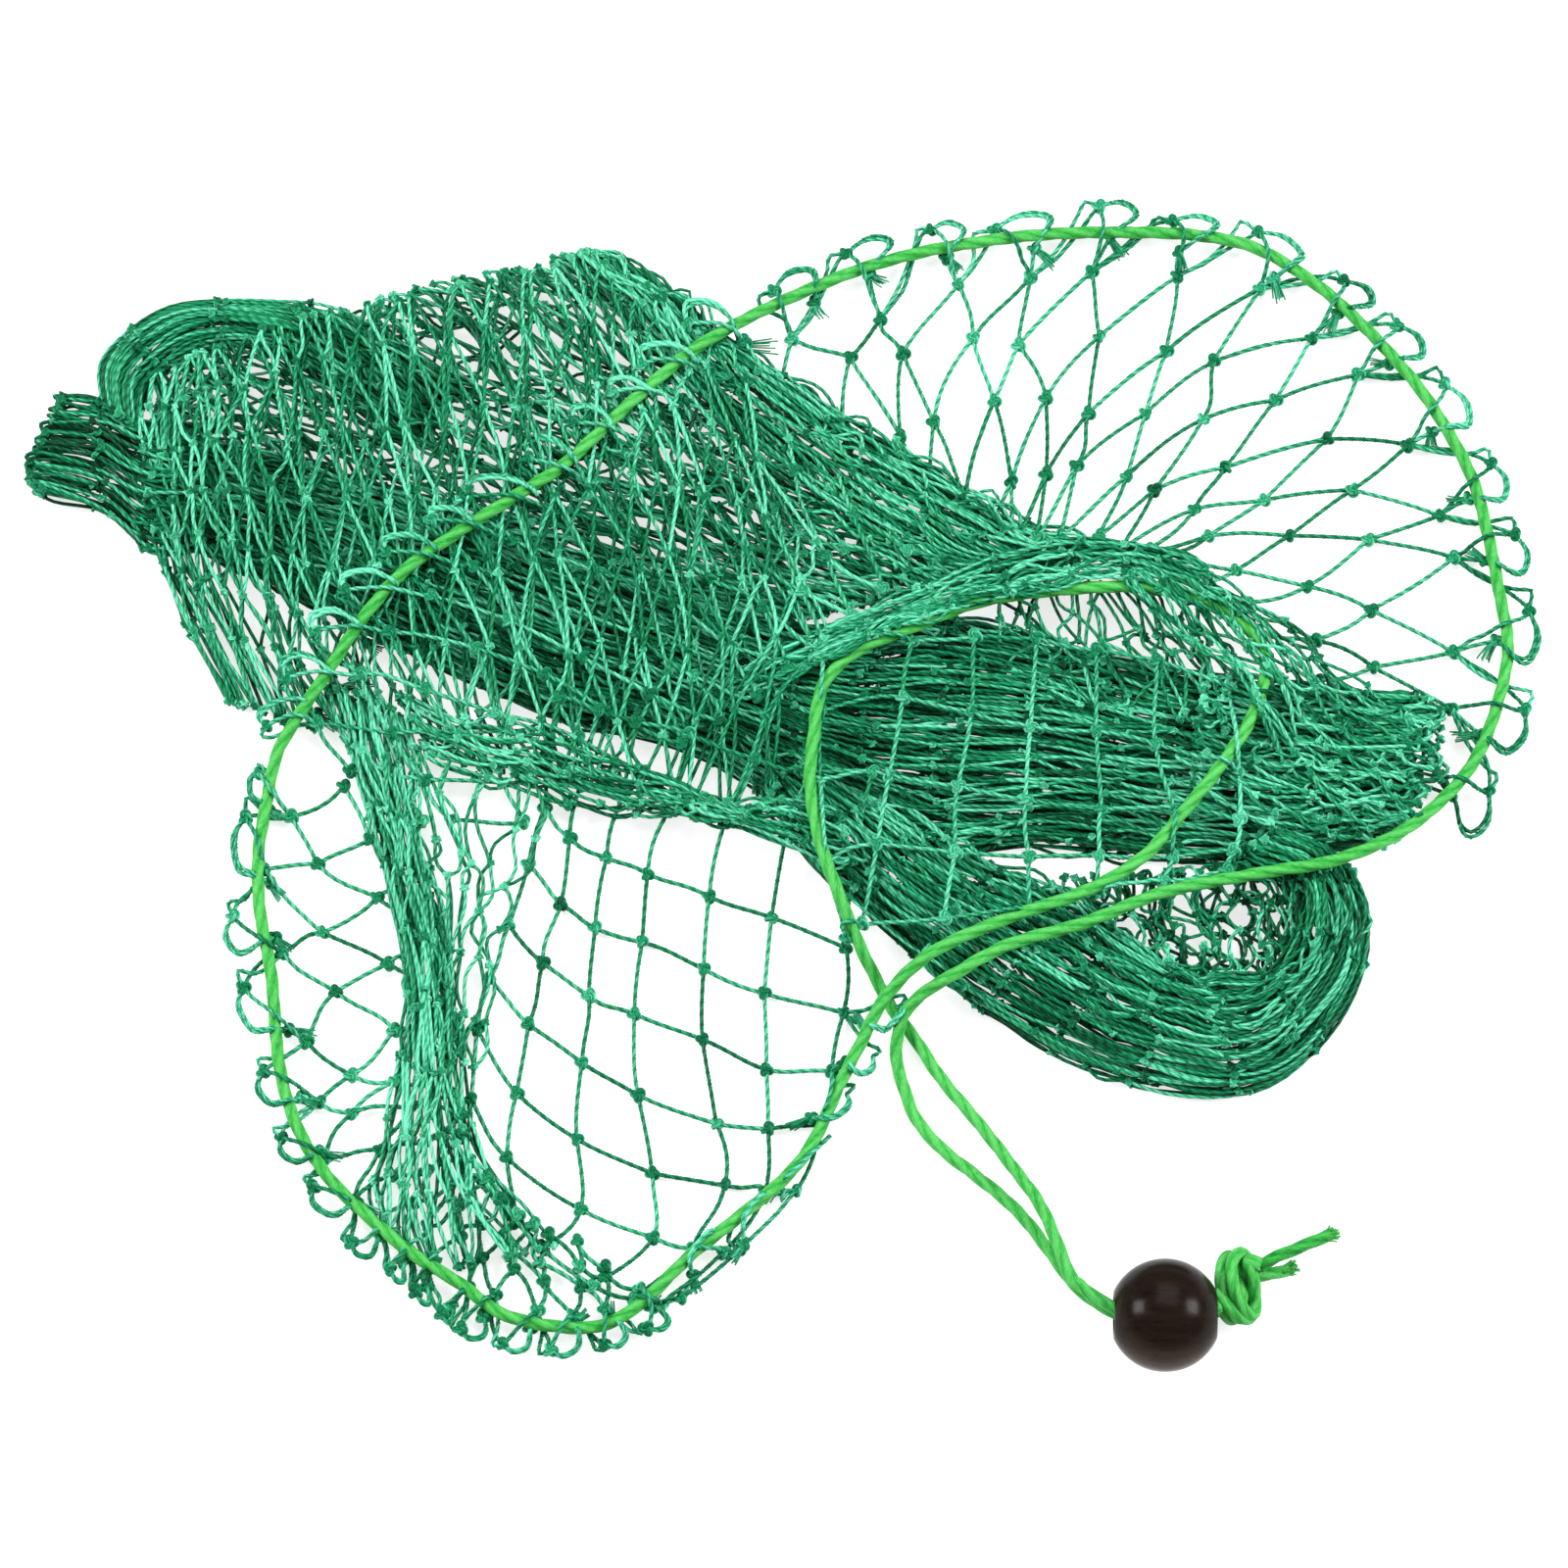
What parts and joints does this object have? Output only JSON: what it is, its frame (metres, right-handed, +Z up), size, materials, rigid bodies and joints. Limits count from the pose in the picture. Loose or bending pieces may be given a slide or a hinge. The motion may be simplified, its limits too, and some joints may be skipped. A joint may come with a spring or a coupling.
{
  "type": "folding net crab trap bag",
  "caption": "Knotted mesh drawstring bag lying in a loose heap, its mouth threaded on a cord whose two tails pass through a wooden bead to a stop knot.",
  "frame": {"origin": "on the surface the heap lies on, under the middle of the netting's outline", "axes": "+Z up, +X along the longer side of the heap, +Y towards the far side of the heap, away from the bead"},
  "size_m": [0.234, 0.1943, 0.0169],
  "materials": {
    "twine": "satin fibrillated polyethylene twine, emerald green",
    "cord": "satin twisted polyethylene cord, bright lime green",
    "bead_wood": "dark brown stained wood, satin lacquer"
  },
  "bodies": {
    "bag": {"net_bundle": "twine", "net_lobe": "twine", "net_shoulder": "twine", "net_skirt": "twine", "net_collar": "twine", "net_arc_fold": "twine", "net_mouth_right": "twine", "net_mouth_left": "twine", "net_gathered_strand": "twine", "net_bridge": "twine", "drawstring_mouth": "cord", "drawstring_inner_loop": "cord", "drawstring_tail_upper": "cord", "drawstring_tail_lower": "cord", "stop_knot": "cord", "cut_end_long": "cord", "cut_end_short": "cord"},
    "bead": {"bead": "bead_wood"}
  },
  "joints": [
    {"name": "bead_travel", "type": "hinge", "parent": "bag", "child": "bead", "pos_m": [0.0573, -0.07327, 0.00845], "axis": [0, 0, -1], "range_deg": [0, 32]}
  ]
}
